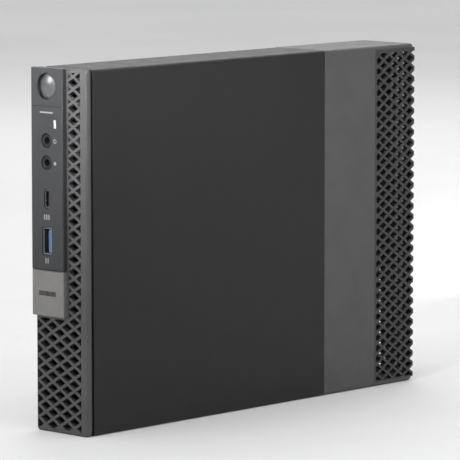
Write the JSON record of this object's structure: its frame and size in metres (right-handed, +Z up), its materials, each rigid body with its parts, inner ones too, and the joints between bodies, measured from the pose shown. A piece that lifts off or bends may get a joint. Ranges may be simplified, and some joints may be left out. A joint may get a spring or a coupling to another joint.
{
  "type": "mini pc",
  "caption": "Slim mini desktop computer standing upright, with a mesh front, a raised port strip, a lift-off side sheet and a mesh-ended cable cover.",
  "frame": {"origin": "under the middle of the outline, at the height of the lower edge", "axes": "+Z up as the computer stands on its long edge, -Y the front bezel with the ports, +X the removable side cover, -X the base with the feet"},
  "size_m": [0.036, 0.25, 0.182],
  "materials": {
    "bezel_plastic": "satin",
    "strip_plastic": "satin",
    "mark_ink": "matte",
    "badge_silver": "satin",
    "badge_dark": "gloss",
    "button_satin": "gloss",
    "light_pipe": "clear",
    "black_plastic": "matte",
    "port_steel": "satin",
    "usb_blue": "satin",
    "chassis_black": "matte",
    "zinc": "satin",
    "rubber": "matte",
    "cover_charcoal": "textured matte",
    "board_green": "solder mask",
    "screw_steel": "satin",
    "lid_nickel": "satin",
    "sink_aluminium": "satin",
    "ferrite": "matte",
    "chip_black": "matte",
    "caddy_blue": "satin",
    "contact_gold": "bright",
    "cable_grey": "satin",
    "mesh_grey": "satin"
  },
  "bodies": {
    "chassis": {"activity_light_pipe": "light_pipe", "power_switch": "black_plastic", "audio_jacks": "black_plastic", "usb_c_shell": "port_steel", "usb_a_front_shell": "port_steel", "usb_a_front_tongue": "usb_blue", "chassis_base": "chassis_black", "chassis_front_panel": "chassis_black", "chassis_rear_panel": "chassis_black", "threaded_inserts": "zinc", "rubber_feet": "rubber", "padlock_loop": "zinc", "system_board": "board_green", "board_posts": "zinc", "board_screws": "screw_steel", "processor_socket": "black_plastic", "processor": "lid_nickel", "heatsink": "sink_aluminium", "heatsink_screws": "screw_steel", "blower_housing": "black_plastic", "blower_motor": "zinc", "card_sockets": "black_plastic", "memory_modules": "board_green", "m2_solid_state_drive": "board_green", "wireless_card": "board_green", "coin_cell_holder": "black_plastic", "coin_cell": "screw_steel", "chipset_heatsink": "sink_aluminium", "power_inductors": "ferrite", "power_capacitors": "sink_aluminium", "board_chips": "chip_black", "drive_bay_bracket": "zinc", "drive_connector": "black_plastic", "speaker": "black_plastic", "usb_a_rear_shells": "port_steel", "display_port_shells": "port_steel", "port_tongues": "black_plastic", "network_socket": "port_steel", "network_contacts": "contact_gold", "dc_inlet": "black_plastic", "dc_inlet_pin": "contact_gold", "option_blank": "black_plastic"},
    "bezel": {"front_bezel": "bezel_plastic", "io_strip": "strip_plastic", "port_marks": "mark_ink", "badge_plate": "badge_silver", "badge_mark": "badge_dark"},
    "power_button": {"power_button": "button_satin"},
    "side_cover": {"side_cover": "cover_charcoal"},
    "thumbscrew": {"thumbscrew": "zinc"},
    "impeller": {"blower_impeller": "black_plastic"},
    "drive": {"drive_caddy": "caddy_blue", "hard_drive": "sink_aluminium"},
    "cable_cover": {"cable_cover_frame": "cable_grey", "cable_cover_grille_outer": "mesh_grey", "cable_cover_grille_inner": "mesh_grey", "cable_cover_grille_rear": "mesh_grey", "cable_cover_clamp_bar": "zinc"},
    "cable_cover_screw": {"cable_cover_screw": "screw_steel"}
  },
  "joints": [
    {"name": "power_button_press", "type": "slide", "parent": "bezel", "child": "power_button", "axis": [0, 1, 0], "range_m": [0, 0.0008], "stiffness_N_per_m": 1000, "springref_m": -0.0003},
    {"name": "side_cover_lift", "type": "slide", "parent": "chassis", "child": "side_cover", "axis": [1, 0, 0], "range_m": [0, 0.06]},
    {"name": "bezel_pull", "type": "slide", "parent": "chassis", "child": "bezel", "axis": [0, -1, 0], "range_m": [0, 0.03]},
    {"name": "cable_cover_pull", "type": "slide", "parent": "chassis", "child": "cable_cover", "axis": [0, 1, 0], "range_m": [0, 0.09]},
    {"name": "drive_unplug", "type": "slide", "parent": "chassis", "child": "drive", "axis": [0, -1, 0], "range_m": [0, 0.008]},
    {"name": "thumbscrew_turn", "type": "hinge", "parent": "chassis", "child": "thumbscrew", "pos_m": [0.01, 0.055, 0.15], "axis": [0, 1, 0], "range_deg": [0, 1080]},
    {"name": "cable_cover_screw_turn", "type": "hinge", "parent": "cable_cover", "child": "cable_cover_screw", "pos_m": [-0.014, 0.06, 0.091], "axis": [1, 0, 0], "range_deg": [0, 1080]},
    {"name": "impeller_spin", "type": "hinge", "parent": "chassis", "child": "impeller", "pos_m": [0.003, -0.076, 0.042], "axis": [1, 0, 0], "continuous": true}
  ]
}
